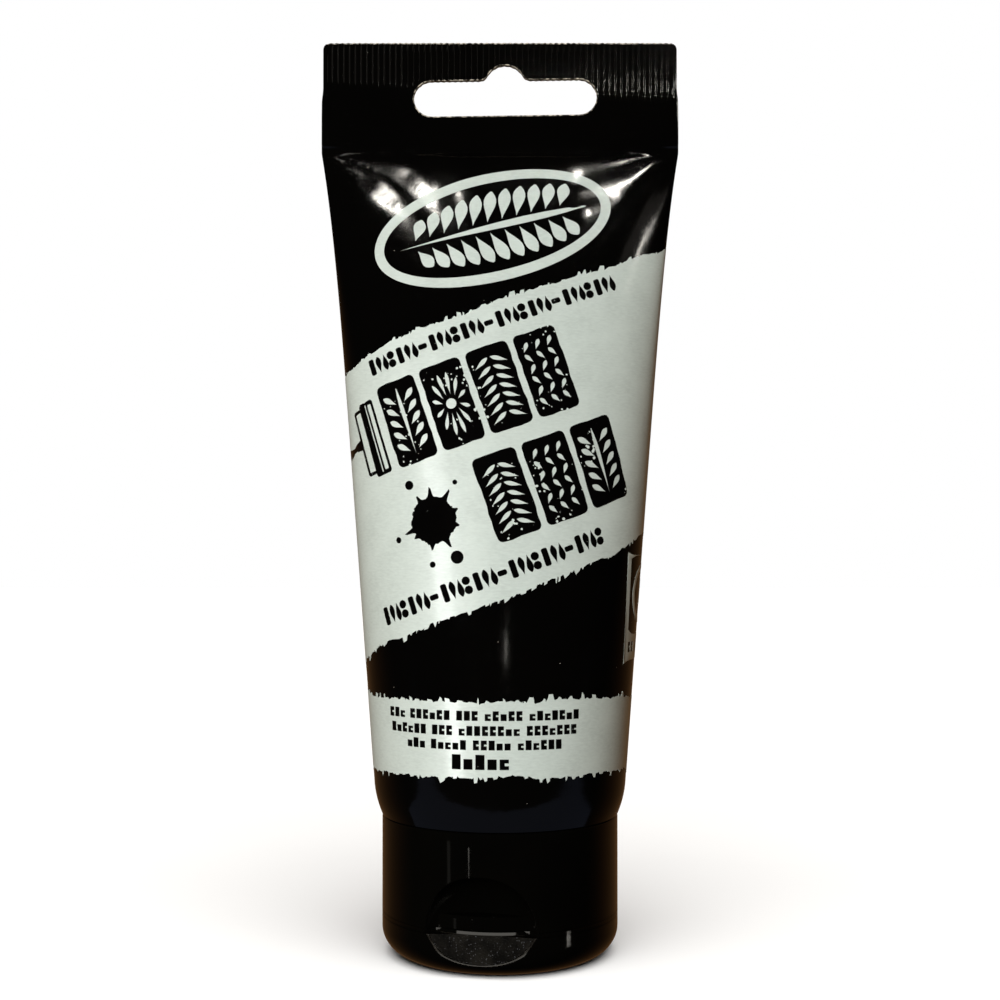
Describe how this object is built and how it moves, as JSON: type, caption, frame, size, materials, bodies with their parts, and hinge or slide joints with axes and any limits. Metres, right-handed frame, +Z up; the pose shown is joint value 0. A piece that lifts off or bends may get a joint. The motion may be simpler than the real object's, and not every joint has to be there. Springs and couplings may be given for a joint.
{
  "type": "plastic squeeze tube",
  "caption": "Plastic squeeze tube of block-printing ink with a crimped, hang-slotted tail, standing on a round flip-top cap with a thumb recess.",
  "frame": {"origin": "middle of the lid's flat face, which the tube stands on", "axes": "+Z runs up from the lid to the crimped tail; the crimp lies across X; the printed front faces -Y"},
  "size_m": [0.06, 0.0396, 0.1514],
  "materials": {
    "sleeve_polyethylene": "gloss black printed polyethylene",
    "head_polyethylene": "natural moulded polyethylene",
    "cap_polypropylene": "gloss black moulded polypropylene",
    "ink_paste": "thick wet black ink"
  },
  "bodies": {
    "tube": {"tube_sleeve": "sleeve_polyethylene", "shoulder": "head_polyethylene", "ink_fill": "ink_paste"},
    "cap": {"cap_body": "cap_polypropylene", "film_hinge": "cap_polypropylene"},
    "lid": {"lid": "cap_polypropylene"}
  },
  "joints": [
    {"name": "cap_turn", "type": "hinge", "parent": "tube", "child": "cap", "pos_m": [0, 0, 0.0139], "axis": [0, 0, 1], "continuous": true},
    {"name": "lid_flip", "type": "hinge", "parent": "cap", "child": "lid", "pos_m": [0.00325, 0.0188, 0.0071], "axis": [0.9854, -0.1702, 0], "range_deg": [0, 175], "deforming": ["film_hinge"]}
  ]
}
